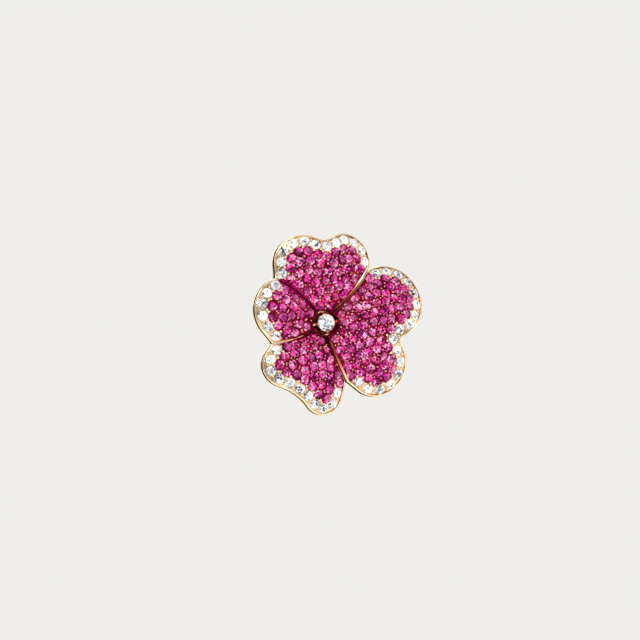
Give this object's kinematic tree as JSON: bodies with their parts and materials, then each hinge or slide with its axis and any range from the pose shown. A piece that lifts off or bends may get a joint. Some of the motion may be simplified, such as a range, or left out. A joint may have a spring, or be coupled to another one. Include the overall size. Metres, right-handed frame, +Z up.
{
  "type": "flower clip-on earring",
  "caption": "Flower clip-on earring: domed heart-shaped petals set with small round stones about a larger one, and a bent clip that holds the ear lobe.",
  "frame": {"origin": "where the back of the earring rests on the front of the ear lobe, on the axis of the flower", "axes": "+Z up as worn, the flower faces -Y, +X to the right seen from the front"},
  "size_m": [0.0311, 0.0129, 0.0321],
  "materials": {
    "gold": "polished, gold plated",
    "pink_stone": "cut glass, deep pink",
    "white_stone": "cut glass, clear and foiled"
  },
  "bodies": {
    "root": {"petal_top": "gold", "petal_left": "gold", "petal_lower": "gold", "petal_right": "gold", "pink_stones_top": "pink_stone", "pink_stones_left": "pink_stone", "pink_stones_lower": "pink_stone", "pink_stones_right": "pink_stone", "white_stones_top": "white_stone", "white_stones_left": "white_stone", "white_stones_lower": "white_stone", "white_stones_right": "white_stone", "centre_setting": "gold", "centre_stone": "white_stone", "back_frame": "gold", "ear_clip": "gold"}
  },
  "joints": []
}
